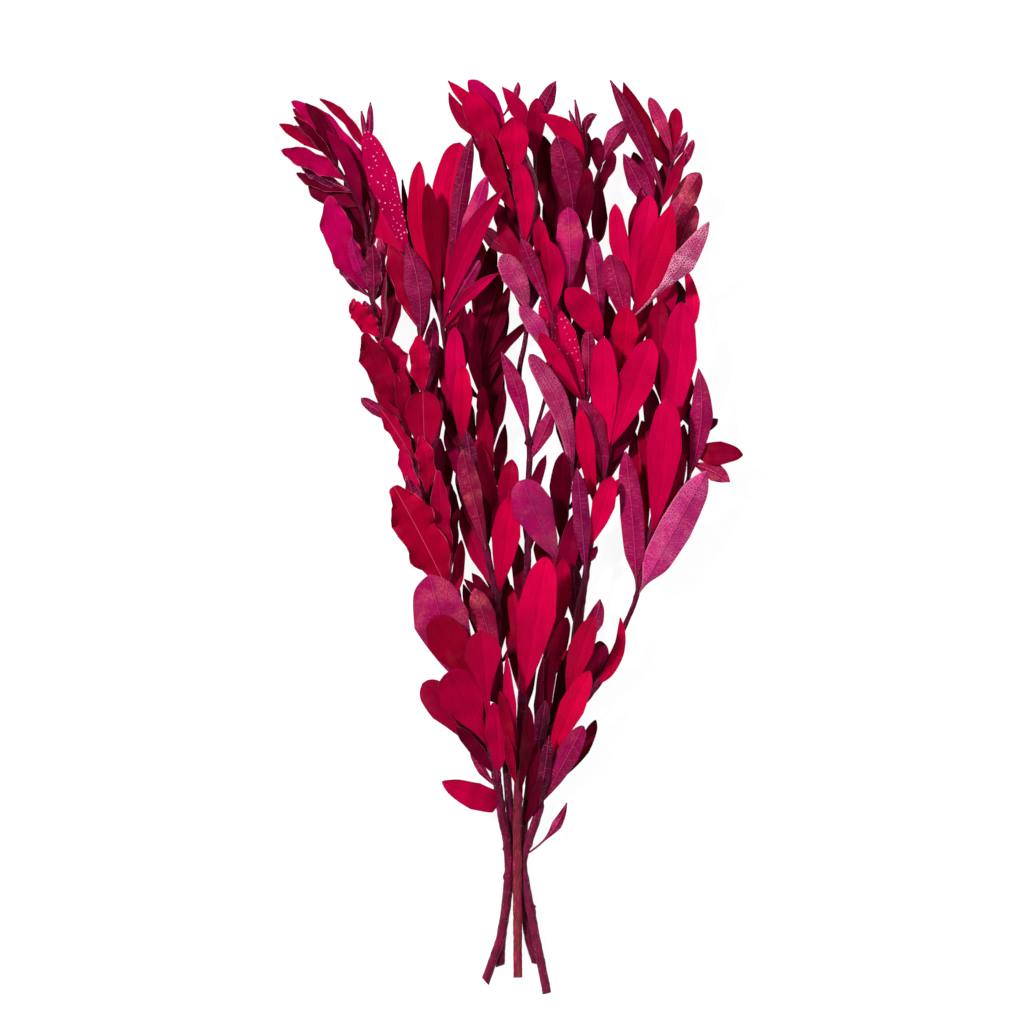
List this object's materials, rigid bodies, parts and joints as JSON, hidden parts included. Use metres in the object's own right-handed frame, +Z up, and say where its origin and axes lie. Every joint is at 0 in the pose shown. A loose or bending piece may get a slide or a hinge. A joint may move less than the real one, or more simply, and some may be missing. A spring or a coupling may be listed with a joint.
{
  "type": "bunch of preserved foliage",
  "caption": "Bunch of cut leafy stems, dyed crimson and preserved, that lie together with bare stem ends at one side and a spread of long leathery leaves.",
  "frame": {"origin": "under the middle of the bunch's bounding box, on the surface it lies on", "axes": "+Y from the cut stem ends to the leaf tips, +Z up from the surface it lies on, +X to the right as seen from above"},
  "size_m": [0.3546, 0.6992, 0.0907],
  "materials": {
    "dyed_foliage": "matt, supple preserved leaves dyed crimson, with purplish undersides"
  },
  "bodies": {
    "root": {"leafy_stem_left": "dyed_foliage", "leafy_stem_mid_left": "dyed_foliage", "leafy_stem_centre": "dyed_foliage", "leafy_stem_centre_right": "dyed_foliage", "leafy_stem_right": "dyed_foliage"}
  },
  "joints": []
}
